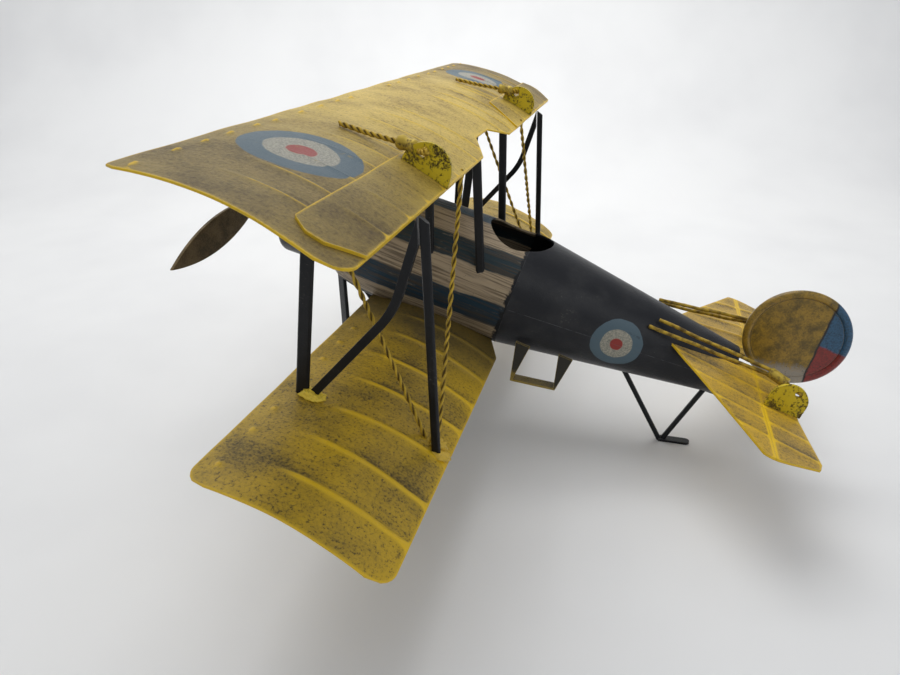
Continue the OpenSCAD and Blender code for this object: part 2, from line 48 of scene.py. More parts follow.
# %% [markdown]
# ## Working in flight axes
# The model rests on its wheels and its tail skid, so nothing on it is level. It is far easier
# to shape a wing in axes that are level with the wing: X to port, Y aft, Z up, in millimetres,
# from the middle of the upper wing's front edge. The propeller's axis tells us how far the
# model leans back, and a wheel's centre tells us where the flight axes start.

# %% Flight axes
BARREL_TILT = math.radians(2.5)
WHEEL_CENTRE = Vector((57, 60, -159.1))
joints = {joint["name"]: joint for joint in frame["record"]["behaviour"]["joints"]}
spin = joints["propeller_spin"]["axis"]
lean = math.atan2(-spin[2], spin[1]) + BARREL_TILT
turn = Matrix.Rotation(-lean, 4, "X") @ Matrix.Scale(0.001, 4)
shift = Vector(joints["port_wheel_roll"]["pos_m"]) - turn @ WHEEL_CENTRE
flight_to_row = Matrix.Translation(shift) @ turn
print("leans back", round(math.degrees(lean), 2), "degrees")

# %% [markdown]
# ## The camera
# The camera stands behind the port wing and looks down over it, close enough for the near
# wing to look much larger than the far one. A camera's matrix has its right, up and backward
# directions as columns, so we write two of them and work out the third. The Standard view
# transform keeps the paint's colours as they are mixed, where the default one fades them.

# %% Camera
camera_data = bpy.data.cameras.new("camera")
camera_data.lens, camera_data.sensor_width = 28.26, 36
camera_place = (0.36753, 0.05176, 0.23173)
camera = bpy.data.objects.new("camera", camera_data)
bpy.context.scene.collection.objects.link(camera)
camera_up = Vector((-0.4127, -0.1124, 0.9040)).normalized()
camera_back = Vector((0.8737, 0.2316, 0.4277)).normalized()
camera_right = camera_up.cross(camera_back).normalized()
camera_up = camera_back.cross(camera_right)
camera.matrix_world = Matrix.Translation(camera_place) @ Matrix(
    (camera_right, camera_up, camera_back)).transposed().to_4x4()
camera_data.clip_start = 0.01
bpy.context.scene.camera = camera
bpy.context.scene.view_settings.view_transform = "Standard"
print("camera at", tuple(round(v, 3) for v in camera.location))

# %% [markdown]
# ## A signal class for paint
# A finish in Blender is a net of nodes. Written out one by one they hide the idea, so this
# small class wraps one output socket. Sums on it add Math nodes, and node() adds any other
# node: its settings first, then the values or links of its sockets. The Mix node has a set of
# sockets for each kind of data, so its colour sockets are named by number.


# %% Signal
MIX_FACTOR, MIX_FIRST, MIX_SECOND, MIX_RESULT = 0, 6, 7, 2


class Signal:
    """One output socket of a finish, which can be used in sums like a number."""

    def __init__(self, tree, socket=None):
        self.tree, self.socket = tree, socket

    def node(self, kind, settings=None, sockets=None, out=0):
        made = self.tree.nodes.new(kind)
        for name, value in (settings or {}).items():
            if name == "stops":
                ramp = made.color_ramp.elements
                while len(ramp) < len(value):
                    ramp.new(0.5)
                for place, (position, colour) in enumerate(value):
                    ramp[place].position, ramp[place].color = position, colour
            else:
                setattr(made, name, value)
        for name, value in (sockets or {}).items():
            if isinstance(value, Signal):
                self.tree.links.new(value.socket, made.inputs[name])
            else:
                made.inputs[name].default_value = value
        return Signal(self.tree, made.outputs[out])

    def math(self, operation, first, second=0.0):
        return self.node("ShaderNodeMath", {"operation": operation}, {0: first, 1: second})

    def __add__(self, other):
        return self.math("ADD", self, other)

    def __sub__(self, other):
        return self.math("SUBTRACT", self, other)

    def __rsub__(self, other):
        return self.math("SUBTRACT", other, self)

    def __mul__(self, other):
        return self.math("MULTIPLY", self, other)

    def __truediv__(self, other):
        return self.math("DIVIDE", self, other)

    def __rtruediv__(self, other):
        return self.math("DIVIDE", other, self)

    def __abs__(self):
        return self.math("ABSOLUTE", self)

    def root(self):
        return self.math("SQRT", self)

    __radd__, __rmul__ = __add__, __mul__

    def ease(self, low, high):
        """0 below low, 1 above high, and a smooth step between them."""
        return self.node("ShaderNodeMapRange", {"interpolation_type": "SMOOTHSTEP"},
                         {"Value": self, "From Min": low, "From Max": high})

    def blend(self, first, second):
        """The first colour where this signal is 0 and the second where it is 1."""
        return self.node("ShaderNodeMix", {"data_type": "RGBA"}, {
            MIX_FACTOR: self, MIX_FIRST: first, MIX_SECOND: second}, MIX_RESULT)

    def axis(self, name):
        return self.node("ShaderNodeSeparateXYZ", {}, {"Vector": self}, "XYZ".index(name))

    def stretch(self, *sizes):
        """This position divided by a size along each axis."""
        return self.node("ShaderNodeVectorMath", {"operation": "MULTIPLY"},
                         {0: self, 1: [1 / size for size in sizes]})

    def cloud(self, detail=3.0, roughness=0.55):
        return self.node("ShaderNodeTexNoise", {},
                         {"Vector": self, "Scale": 1.0, "Detail": detail, "Roughness": roughness})


print("signal class ready")

# %% [markdown]
# ## Starting and closing a finish
# start_finish() makes a material and returns the flight position of each point as a signal.
# A Mapping node turns the object's own coordinates back into flight axes, so paint stays on
# the part when a wheel or the propeller turns. close_finish() joins colour, roughness and a
# height to one Principled shader.

# %% Finish helpers
OBJECT_PLACE, TRUE_NORMAL, DOT_RESULT, FACTOR_RESULT = 3, 1, 1, 2


def start_finish(name):
    material = bpy.data.materials.new(name)
    material.use_nodes = True
    material.node_tree.nodes.clear()
    start = Signal(material.node_tree)
    place = start.node("ShaderNodeTexCoord", out=OBJECT_PLACE)
    back = flight_to_row.inverted()
    flight = start.node("ShaderNodeMapping", {"vector_type": "POINT"}, {
        "Vector": place, "Location": back.translation, "Rotation": (lean, 0, 0),
        "Scale": (1000, 1000, 1000)})
    return material, flight


def close_finish(material, colour, roughness, height=None, depth=0.0003, metallic=0.0,
                 coat=0.0, gloss=0.25):
    start = Signal(material.node_tree)
    sockets = {"Base Color": colour, "Roughness": roughness, "Metallic": metallic,
               "Coat Weight": coat, "Coat Roughness": 0.3, "Specular IOR Level": gloss}
    if height is not None:
        sockets["Normal"] = start.node("ShaderNodeBump", {}, {
            "Strength": 0.8, "Distance": depth, "Height": height})
    shader = start.node("ShaderNodeBsdfPrincipled", {}, sockets)
    end = material.node_tree.nodes.new("ShaderNodeOutputMaterial")
    material.node_tree.links.new(shader.socket, end.inputs["Surface"])
    return material


def worn_edges(flight, size=0.0007):
    """1 on the sharp edges of a part, where paint rubs thin, and 0 on its faces."""
    rounded = flight.node("ShaderNodeBevel", {"samples": 6}, {"Radius": size})
    plain = flight.node("ShaderNodeNewGeometry", out=TRUE_NORMAL)
    same = flight.node("ShaderNodeVectorMath", {"operation": "DOT_PRODUCT"},
                       {0: rounded, 1: plain}, DOT_RESULT)
    return (1 - same).ease(0.01, 0.16)


def painted_value(flight, name):
    return flight.node("ShaderNodeAttribute", {"attribute_name": name},
                       out=FACTOR_RESULT)


print("finish helpers ready")

# %% [markdown]
# ## Old yellow enamel
# The wings are yellow enamel, rubbed over with a dark umber wash that was wiped off the high
# places. So the colour depends on height: bright on ribs and edges, olive-brown between them.
# Three point attributes of the plates carry that into the finish: ridge is 1 on a rib, edge is
# 1 at the cut edge, and the third is 1 in a line on the inboard side of each rib, where it
# paints shade. Fine noise breaks the wash into the specks that a sponge leaves, and long thin
# noise gives the brush strokes that run with the chord.

# %% Yellow enamel
UMBER = (0.050, 0.034, 0.012, 1)
OLIVE = (0.205, 0.140, 0.024, 1)
YELLOW = (0.52, 0.335, 0.016, 1)
CREST_YELLOW = (0.74, 0.48, 0.016, 1)
ROUNDEL_BLUE = (0.075, 0.115, 0.140, 1)
ROUNDEL_CREAM = (0.36, 0.34, 0.27, 1)
ROUNDEL_RED = (0.26, 0.035, 0.028, 1)


def wiped_enamel(flight, streak, speck, olive=OLIVE, yellow=YELLOW, dirt=0.5, sponge=0.3):
    """Colour, roughness and height of yellow enamel under a wiped wash."""
    strokes = flight.stretch(1.3, streak, 4).cloud(4, 0.6)
    clouds = flight.stretch(30, 36, 30).cloud(4, 0.6)
    specks = flight.stretch(speck, speck, speck).cloud(5, 0.75)
    ridge, edge = painted_value(flight, "ridge"), painted_value(flight, "edge")
    # Painted shade: the third attribute darkens a line on the inboard side of each rib, through the
    # wash film and the grime below.
    hollow = painted_value(flight, "hollow")
    wash = strokes * 0.35 + clouds * 1.4 + specks * 0.95 - 1.35 + (dirt - 0.5)
    film = (wash - ridge * 0.30 - edge * 0.30 + hollow * 0.12).ease(-0.34, 0.40)
    colour = film.blend(yellow, olive)
    grime = (specks * 1.1 + clouds * 0.9 + strokes * 0.2 + hollow * 0.18).ease(1.15, 1.50)
    colour = (grime * 0.75).blend(colour, UMBER)
    colour = (specks.ease(0.53, 0.66) * sponge).blend(colour, UMBER)
    rubbed = (ridge + edge * 0.9 + specks * 0.8 + strokes * 0.5 - 0.65).ease(0.45, 0.95)
    colour = (rubbed * 0.85).blend(colour, CREST_YELLOW)
    return colour, film * 0.16 + 0.40, specks * 0.45 + strokes * 0.25 + rubbed * 0.3


print("enamel runs from umber", UMBER[:3], "to crest", CREST_YELLOW[:3])

# %% [markdown]
# ## Roundels
# A roundel is three rings brushed on freehand. The distance from its centre drives a colour
# ramp, and a little noise is added to that distance, which makes the rings' outlines waver as
# a brush does. The cream ring is stippled, so specks of shadow show between its dabs.

# %% Roundels
RED_TO, CREAM_TO = 0.25, 0.61


def roundel(flight, distance, size, under):
    """Rings of a roundel of that radius over the colour under it."""
    wobble = flight.stretch(7, 7, 7).cloud(2)
    reach = (distance + wobble * 1.3 - 0.65) / size
    dabs = flight.stretch(0.8, 0.8, 0.8).cloud(2, 0.8).ease(0.36, 0.62)
    rings = reach.node("ShaderNodeValToRGB", {"stops": [
        (0.0, ROUNDEL_RED), (RED_TO - 0.015, ROUNDEL_RED), (RED_TO + 0.015, ROUNDEL_CREAM),
        (CREAM_TO - 0.01, ROUNDEL_CREAM), (CREAM_TO + 0.015, ROUNDEL_BLUE),
        (1.0, ROUNDEL_BLUE)]}, {"Fac": reach})
    cream = (reach.ease(RED_TO, RED_TO + 0.02)
             * (1 - reach.ease(CREAM_TO - 0.01, CREAM_TO + 0.02)))
    rings = (cream * dabs * 0.55).blend(rings, (0.07, 0.085, 0.085, 1))
    scuffs = flight.stretch(5, 9, 5).cloud(5, 0.7).ease(0.60, 0.74)
    here = (1 - reach.ease(0.985, 1.015)) * (1 - scuffs * 0.65)
    return here.blend(under, rings)


print("roundel rings end at", RED_TO, CREAM_TO, 1.0)

# %% [markdown]
# ## Paint for each yellow part
# The recipe is the same for every yellow part, but the wash was wiped differently. The upper
# wing is pale in the middle and olive towards its tips. The lower wings are speckled all over,
# and painted shade darkens them at the root, where the barrel shades them.

# %% Yellow parts
WING_ROUNDEL_X, WING_ROUNDEL_Y, WING_ROUNDEL_SIZE = 139, 34, 22.5


def upper_wing_paint():
    material, flight = start_finish("upper_wing_paint")
    tipward = abs(flight.axis("X")).ease(40, 180)
    olive = tipward.blend((0.36, 0.25, 0.055, 1), (0.105, 0.070, 0.022, 1))
    yellow = tipward.blend((0.62, 0.44, 0.07, 1), (0.25, 0.175, 0.035, 1))
    colour, rough, height = wiped_enamel(flight, 24, 1.3, olive, yellow, 0.55, 0.30)
    across = abs(flight.axis("X")) - WING_ROUNDEL_X
    aft = flight.axis("Y") - WING_ROUNDEL_Y
    distance = (across * across + aft * aft).root()
    colour = roundel(flight, distance, WING_ROUNDEL_SIZE, colour)
    return close_finish(material, colour, rough, height, 0.0005)


def lower_wing_paint():
    material, flight = start_finish("lower_wing_paint")
    # Painted shade: this mask is 1 near the barrel, and below it darkens the lower wings towards
    # the root, where the barrel shades them.
    root = 1 - abs(flight.axis("X")).ease(35, 95)
    colour, rough, height = wiped_enamel(flight, 30, 1.25, OLIVE, YELLOW, 0.5, 0.85)
    colour = (root * 0.75).blend(colour, (0.045, 0.04, 0.028, 1))
    return close_finish(material, colour, rough, height, 0.0005, coat=0.15)


def plain_yellow(name, streak=8, dirt=0.5, yellow=YELLOW, olive=OLIVE):
    material, flight = start_finish(name)
    colour, rough, height = wiped_enamel(flight, streak, 1.3, olive, yellow, dirt)
    colour = (worn_edges(flight) * 0.5).blend(colour, UMBER)
    return close_finish(material, colour, rough, height, 0.0005, coat=0.15)


upper_paint, lower_paint = upper_wing_paint(), lower_wing_paint()
tail_paint = plain_yellow("tail_paint", 14, 0.54, (0.60, 0.37, 0.03, 1), (0.22, 0.15, 0.05, 1))
solder_paint = plain_yellow("solder_paint", 2, 0.42, (0.64, 0.43, 0.05, 1))
foot_paint = plain_yellow("foot_paint", 1, 0.12, (0.82, 0.60, 0.06, 1), (0.45, 0.30, 0.03, 1))
print("yellow finishes ready")

# %% [markdown]
# ## The striped barrel
# The front of the fuselage is banded like a barrel: blue, then cream combed with brown so that
# it looks like bare wood, and black underneath. The angle around the barrel's own axis picks
# the band from a colour ramp, which takes one node instead of a mix for each band. The comb
# lines are noise squeezed hard around the barrel and drawn out along it.

# %% Barrel stripes
BARREL_AXIS_Z, BARREL_END = -76.1, 117.6
BLACK = (0.010, 0.011, 0.013, 1)
BAND_BLUE = (0.010, 0.032, 0.052, 1)
# Blue darkened as painted shade, for the band that the upper wing shades.
SHADED_BAND_BLUE = (0.016, 0.032, 0.040, 1)
BAND_CREAM = (0.37, 0.29, 0.19, 1)
BAND_BROWN = (0.060, 0.043, 0.027, 1)
# The band from 40 to 62 degrees is painted shade: the blue darkened where the upper wing shades the
# barrel.
BANDS = [(12, (0.035, 0.070, 0.10, 1)), (40, BAND_CREAM), (62, SHADED_BAND_BLUE), (89, BAND_CREAM),
         (114, BAND_BLUE), (138, BAND_CREAM), (180, BLACK)]


def barrel_paint():
    material, flight = start_finish("barrel_paint")
    x, y, z = (flight.axis(name) for name in "XYZ")
    up = z - BARREL_AXIS_Z - y * math.tan(BARREL_TILT)
    waver = flight.stretch(9, 16, 9).cloud(3)
    angle = abs(x.math("ARCTAN2", x, up)) * (180 / math.pi) + waver * 5 - 2.5
    stops, start = [], 0
    for end, colour in BANDS:
        stops += [(start / 180, colour), ((end - 1.2) / 180, colour)]
        start = end
    bands = angle.node("ShaderNodeValToRGB", {"stops": stops}, {"Fac": angle / 180})
    combed = flight.stretch(1.1, 40, 1.1).cloud(3, 0.6)
    worn = flight.stretch(3, 14, 3).cloud(5, 0.7)
    colour = (combed.ease(0.40, 0.66) * 0.75).blend(bands, BAND_BROWN)
    colour = (worn.ease(0.58, 0.70) * 0.6).blend(colour, (0.20, 0.17, 0.13, 1))
    chips = flight.stretch(1.6, 2.2, 1.6).cloud(4, 0.7).ease(0.66, 0.72)
    colour = (chips * 0.8).blend(colour, BLACK)
    ragged = y + flight.stretch(4, 4, 4).cloud(3, 0.7) * 6
    colour = ragged.ease(BARREL_END + 0.6, BARREL_END + 1.8).blend(colour, BLACK)
    return close_finish(material, colour, combed * 0.25 + 0.38, combed + chips * 0.6, 0.0005)


stripes = barrel_paint()
print("barrel bands", len(BANDS))

# %% [markdown]
# ## Black enamel
# The tail cone, the struts and the undercarriage are black enamel, never a pure black: dust
# lifts it, rubbed edges show paler metal, and its gloss varies. The tail cone also carries a
# roundel on each side, across the seam between its two halves.

# %% Black finishes
CONE_ROUNDEL_Y, CONE_ROUNDEL_Z, CONE_ROUNDEL_SIZE = 178.2, -69.9, 13.5


def black_enamel(name, base, dust, roundels=False):
    material, flight = start_finish(name)
    clouds = flight.stretch(16, 20, 16).cloud(4)
    fine = flight.stretch(0.9, 1.4, 0.9).cloud(4, 0.7)
    colour = (clouds.ease(0.40, 0.72) * dust).blend(base, (0.055, 0.055, 0.055, 1))
    scuffs = (fine * 0.6 + clouds * 0.5).ease(0.66, 0.74)
    colour = (scuffs * 0.35).blend(colour, (0.15, 0.14, 0.115, 1))
    if roundels:
        aft = flight.axis("Y") - CONE_ROUNDEL_Y
        rise = flight.axis("Z") - CONE_ROUNDEL_Z
        colour = roundel(flight, (aft * aft + rise * rise).root(), CONE_ROUNDEL_SIZE, colour)
    edges = worn_edges(flight, 0.0005) * flight.stretch(4, 4, 4).cloud(3).ease(0.40, 0.58)
    colour = (edges * 0.7).blend(colour, (0.10, 0.10, 0.105, 1))
    return close_finish(material, colour, clouds * 0.25 + 0.24, fine + clouds * 0.5, 0.00018)


cone_paint = black_enamel("cone_paint", (0.011, 0.012, 0.015, 1), 0.3, roundels=True)
strut_paint = black_enamel("strut_paint", (0.006, 0.0068, 0.0085, 1), 0.12)
cowl_paint = black_enamel("cowl_paint", (0.013, 0.014, 0.017, 1), 0.4)
tyre_paint = black_enamel("tyre_paint", (0.012, 0.012, 0.012, 1), 0.7)
print("black finishes ready")

# %% [markdown]
# ## Bare and bronzed metal
# Ferrules, horns and the propeller are brass gone brown. Coarse noise with a sharp step leaves
# the flakes of yellow that still sit on them. The engine and the axle are dull steel with oily
# soot in the corners.

# %% Metal finishes
FLAKES_FROM = 0.56


def old_metal(name, metal, soot, smooth, metallic=0.85, flakes=None):
    material, flight = start_finish(name)
    clouds = flight.stretch(11, 11, 11).cloud(4)
    fine = flight.stretch(0.8, 0.8, 0.8).cloud(4, 0.7)
    grime = (clouds * 0.7 + fine * 0.5).ease(0.50, 0.76)
    colour = grime.blend(metal, soot)
    height, rub = fine, (0.34, 0.25, 0.11, 1)
    if flakes:
        flaked = (flight.stretch(1.4, 1.4, 1.4).cloud(5, 0.75) * 0.8
                  + flight.stretch(6, 6, 6).cloud(3) * 0.5).ease(FLAKES_FROM, FLAKES_FROM + 0.09)
        colour = flaked.blend(colour, flakes)
        height, rub = fine * 0.4 + flaked, (0.10, 0.07, 0.02, 1)
    colour = (worn_edges(flight, 0.0004) * 0.6).blend(colour, rub)
    return close_finish(material, colour, grime * 0.3 + smooth, height, 0.0003, metallic)


horn_paint = old_metal("horn_paint", (0.16, 0.115, 0.02, 1), (0.045, 0.034, 0.008, 1), 0.36,
                       0.1, (0.62, 0.47, 0.022, 1))
ferrule_paint = old_metal("ferrule_paint", (0.30, 0.21, 0.045, 1), (0.07, 0.05, 0.02, 1), 0.36,
                          0.3, (0.46, 0.33, 0.05, 1))
propeller_paint = old_metal("propeller_paint", (0.145, 0.098, 0.040, 1),
                            (0.060, 0.042, 0.018, 1), 0.30, 0.45)
engine_paint = old_metal("engine_paint", (0.20, 0.19, 0.175, 1), (0.03, 0.028, 0.025, 1), 0.34)
steel_paint = old_metal("steel_paint", (0.30, 0.29, 0.27, 1), (0.07, 0.05, 0.035, 1), 0.32)
print("metal finishes ready")


# %% [markdown]
# ## Twisted wire
# Each brace is two brass wires twisted together and dipped in yellow. The finish paints light
# on the twist: the outside of each strand is yellow, partly paint and partly painted highlight,
# and the groove between the strands is brown painted shade. The wire meshes carry a proud
# attribute, 1 on the outside of the twist, which drives this.

# %% Wire finish
def wire_finish():
    material, flight = start_finish("wire_paint")
    clouds = flight.stretch(9, 9, 9).cloud(4, 0.6)
    fine = flight.stretch(0.7, 0.7, 0.7).cloud(3, 0.7)
    # Painted light: high values give a painted highlight on the outside of the strands, and low
    # values give brown painted shade in the groove.
    outside = painted_value(flight, "proud") + fine * 0.6 + clouds * 0.9 - 0.75
    colour = outside.ease(0.35, 1.15).blend((0.105, 0.066, 0.014, 1), (0.56, 0.37, 0.035, 1))
    return close_finish(material, colour, 0.62 - outside * 0.2, fine, 0.0002, 0.15)


wire_paint = wire_finish()
print("wire finish ready")


# %% [markdown]
# ## The fin's four colours
# The fin is a plain tin disc in a rolled rim. A slanted seam divides it: worn yellow in front,
# blue above and red below behind it, with a pale speckled patch low down where the colours
# were wiped off. Each boundary is a smooth step on a flight coordinate.

# %% Fin finish
SEAM_Y, SEAM_Z, SEAM_LEAN, BAND_SPLIT = 275.5, -33.8, 0.1225, 38.6


def fin_finish():
    material, flight = start_finish("fin_paint")
    y, z = flight.axis("Y"), flight.axis("Z")
    blot = flight.stretch(7, 7, 7).cloud(4, 0.65)
    fine = flight.stretch(1.0, 1.0, 1.0).cloud(5, 0.75)
    front = (blot * 0.8 + fine * 0.6).ease(0.50, 0.88).blend(
        (0.34, 0.205, 0.022, 1), (0.10, 0.068, 0.012, 1))
    low = (z * -1 + fine * 10 + blot * 8 + (y - 255) * 0.25).ease(64, 69)
    front = (low * 0.7).blend(front, (0.32, 0.30, 0.27, 1))
    blue = fine.ease(0.35, 0.75).blend((0.030, 0.105, 0.20, 1), (0.014, 0.032, 0.05, 1))
    red = fine.ease(0.35, 0.75).blend((0.26, 0.028, 0.022, 1), (0.07, 0.02, 0.017, 1))
    lower = (z * -1 + blot * 4).ease(BAND_SPLIT, BAND_SPLIT + 1.6)
    behind = lower.blend(blue, red)
    seam = y + (z - SEAM_Z) * SEAM_LEAN + blot * 1.4
    colour = seam.ease(SEAM_Y - 0.5, SEAM_Y + 0.5).blend(front, behind)
    groove = abs(seam - SEAM_Y).ease(0.1, 0.8)
    colour = groove.blend((0.015, 0.013, 0.012, 1), colour)
    spots = flight.stretch(1.4, 1.4, 1.4).cloud(4, 0.7).ease(0.62, 0.68)
    colour = (spots * 0.75).blend(colour, (0.016, 0.014, 0.012, 1))
    colour = (worn_edges(flight) * 0.5).blend(colour, (0.30, 0.25, 0.16, 1))
    return close_finish(material, colour, blot * 0.2 + 0.24, fine * 0.5 + groove * 0.6, 0.0004,
                        coat=0.4)


fin_paint = fin_finish()
print("fin finish ready")


# %% [markdown]
# ## Step finish
# The footstep is a strip bent into a stirrup. Its outside was sprayed black with the fuselage
# and its inside and lower bar kept the olive yellow of the first coat.

# %% Step finish
def step_finish():
    material, flight = start_finish("step_paint")
    fine = flight.stretch(1.2, 1.2, 1.2).cloud(4, 0.7)
    height = flight.axis("Z") + fine * 5
    colour = height.ease(-107.5, -103).blend((0.26, 0.18, 0.025, 1), (0.02, 0.018, 0.012, 1))
    colour = fine.ease(0.52, 0.66).blend(colour, (0.030, 0.024, 0.010, 1))
    colour = (worn_edges(flight) * 0.8).blend(colour, (0.40, 0.28, 0.06, 1))
    return close_finish(material, colour, fine * 0.3 + 0.25, fine, 0.0003, coat=0.2)


step_paint = step_finish()
print("step finish ready")

# %% [markdown]
# ## Making a piece
# Every rebuilt piece is shaped in flight axes and then laid into place by flight_to_row. Point
# attributes go along with the mesh, for the finishes to read. The piece rides on the airframe,
# replaces its CAD node, and takes its finish.

# %% Piece helper
made_pieces = []


def piece(name, points, faces, finish, replaced=(), values=None, round_edges=0.0):
    mesh = bpy.data.meshes.new(name)
    mesh.from_pydata([flight_to_row @ Vector(p) for p in points], [], faces)
    mesh.validate()
    for key, numbers in (values or {}).items():
        mesh.attributes.new(key, "FLOAT", "POINT").data.foreach_set("value", numbers)
    mesh.shade_smooth()
    mesh.materials.append(finish)
    made = bpy.data.objects.new(name, mesh)
    bpy.context.scene.collection.objects.link(made)
    if round_edges:
        rounded = made.modifiers.new("rounded", "BEVEL")
        rounded.width, rounded.segments, rounded.angle_limit = round_edges, 2, math.radians(50)
    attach(made, "airframe")
    if replaced:
        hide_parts(*replaced)
    made_pieces.append(made)
    return made


def along(points, x):
    """Height at x of the line through those points."""
    for (x0, y0), (x1, y1) in zip(points, points[1:]):
        if x <= x1:
            return y0 + (y1 - y0) * (x - x0) / (x1 - x0)
    return points[-1][1]


print("piece helper ready, places in flight axes start at", tuple(round(v, 4) for v in shift))

# %% [markdown]
# ## Beaten sheets
# A wing could be a subdivided box, but its outline, arch, ribs and dents all depend on where a
# point is. So each sheet is a grid: stations across the span, rows from front edge to back
# edge, and a height from a function. The lower face is the upper one moved down by the sheet's
# thickness, and a bevel rounds the cut edge as a file would. A wing tip may slant: skew gives
# how far its back corner moves to port, and the two depths between which it does so.


# %% Sheet helper
RIB_SHADE_BESIDE, EDGE_CALM, RIM_WIDTH, FULL_RIDGE = 2.6, 2.5, 1.3, 0.7
DENT_SIZE, DENT_SCALE, CUT_EDGE_ROUND = 0.5, 0.04, 0.0002


def sheet(name, stations, rows, edges, top, thick, finish, replaced, ridge, side=1,
          skew=(0, 0, 1)):
    """Solid sheet over stations of x, between edges(x), its upper face at top(x, y)."""
    upper, ridges, rims, rib_shades = [], [], [], []
    tip = max(abs(x) for x in stations)
    for x in stations:
        front, back = edges(abs(x))
        for row in range(rows + 1):
            y = front + (back - front) * row / rows
            gap = min(y - front, back - y, tip - abs(x))
            calm = 1 - math.exp(-max(gap, 0) / EDGE_CALM)
            high = ridge(abs(x), y)
            dent = noise.noise(Vector((x * side, y, 7)) * DENT_SCALE) * DENT_SIZE
            slant = skew[0] * min(1, max(0, (y - skew[1]) / (skew[2] - skew[1]))) * abs(x) / tip
            upper.append((x * side + slant, y, top(abs(x), y) + high * calm + dent))
            ridges.append(min(1.0, high / FULL_RIDGE))
            # 1 in a line on the inboard side of each rib crest: the mask for painted shade beside
            # the rib.
            rib_shades.append(min(1.0, ridge(abs(x) + RIB_SHADE_BESIDE, y) / FULL_RIDGE))
            rims.append(math.exp(-gap / RIM_WIDTH))
    lower = [(x, y, z - thick) for x, y, z in upper]
    size, columns = rows + 1, len(stations)
    faces = []
    for i in range(columns - 1):
        for j in range(rows):
            a = i * size + j
            faces.append((a, a + size, a + size + 1, a + 1))
    ring = (list(range(rows)) + [i * size + rows for i in range(columns - 1)]
            + [(columns - 1) * size + rows - j for j in range(rows)]
            + [(columns - 1 - i) * size for i in range(columns - 1)])
    deep = len(upper)
    faces += [tuple(deep + k for k in reversed(face)) for face in faces]
    faces += [(a, b, b + deep, a + deep) for a, b in zip(ring, ring[1:] + ring[:1])]
    if side < 0:
        faces = [tuple(reversed(face)) for face in faces]
    return piece(name, upper + lower, faces, finish, replaced,
                 {"ridge": ridges * 2, "edge": rims * 2, "hollow": rib_shades * 2},
                 CUT_EDGE_ROUND)


def spread(start, end, step, fine_end=10):
    """Stations from start to end, closer together over the last few millimetres."""
    body = [start + k * (end - fine_end - start) / round((end - fine_end - start) / step)
            for k in range(round((end - fine_end - start) / step))]
    return body + [end - fine_end * math.cos(k * math.pi / 16) for k in range(9)]


print("dents up to", DENT_SIZE, "mm deep")

# %% [markdown]
# ## The upper wing
# Its section is a shallow arc. Ribs are pressed into it from below, each a soft ridge that runs
# back to the trailing edge, and a row of nail-sized bumps follows the leading edge. In the
# middle, the trailing edge is cut away over the cockpit.

# %% Upper wing
SPAN, CHORD, RISE, SHEET = 199, 81, 5.7, 0.9
UPPER_SKEW = (8, 4, 71)
UPPER_FRONT_R, UPPER_BACK_R, CUTOUT_DEPTH = 4, 10, 9.8
ARC = (CHORD * CHORD / 4 + RISE * RISE) / (2 * RISE)
UPPER_RIBS = (28, 45, 64, 84, 93, 107, 122, 141, 161, 178)
UPPER_BUMPS = (28, 45, 64, 84, 107, 122, 141, 157, 173, 194)


def corner(gap, radius):
    """How far a rounded corner draws the edge in, gap millimetres from the tip."""
    return radius - math.sqrt(max(0, radius ** 2 - (radius - gap) ** 2)) if gap < radius else 0


def upper_edges(x):
    cut_away = 1 - along([(0, 0), (14, 0), (34, 1), (200, 1)], x)
    back = CHORD - corner(SPAN - x, UPPER_BACK_R) - CUTOUT_DEPTH * cut_away
    return corner(SPAN - x, UPPER_FRONT_R), back


def upper_top(x, y):
    return RISE - ARC + math.sqrt(ARC * ARC - (y - CHORD / 2) ** 2)


def upper_ridge(x, y):
    ribs = sum(math.exp(-((x - rib) / 1.0) ** 2) for rib in UPPER_RIBS)
    reach = min(1, max(0, (y - 24) / 14)) * 0.55
    bumps = sum(math.exp(-((x - b) / 2.6) ** 2 - ((y - 7.5) / 1.2) ** 2) for b in UPPER_BUMPS)
    return ribs * reach + bumps * 1.15


half = spread(0.0, SPAN, 1.0)
sheet("upper_wing_sheet", [-x for x in reversed(half[1:])] + half, 64, upper_edges, upper_top,
      SHEET, upper_paint, ("upper_wing",), upper_ridge,
      skew=UPPER_SKEW)
print("upper wing stations", 2 * len(half) - 1)

# %% [markdown]
# ## The lower wings
# Their folds are broader than the upper wing's ribs, with bright yellow on their crests. Each
# fold is a pair: its place near the front edge and its place at the back. Each wing rises a
# little towards its tip, the port one more than the starboard one, because the model was set up
# by eye.

# %% Lower wings
LOWER_SPAN, LOWER_CHORD, LOWER_RISE, STAGGER, GAP = 208, 79, 6.4, 43.7, 99.9
LOWER_SKEW = (6.5, STAGGER + 9, STAGGER + 70)
LOWER_ARC = (LOWER_CHORD ** 2 / 4 + LOWER_RISE ** 2) / (2 * LOWER_RISE)
LOWER_FOLDS = ((40, 40), (64, 64), (90, 89), (116, 113), (142, 137), (164.4, 164.8),
               (187.6, 187))
LOWER_BUMPS = (52, 70, 88, 108, 126, 155, 172, 196)
PORT_DIHEDRAL, STARBOARD_DIHEDRAL, LOWER_TIP_R = 1.8, 0.6, 9


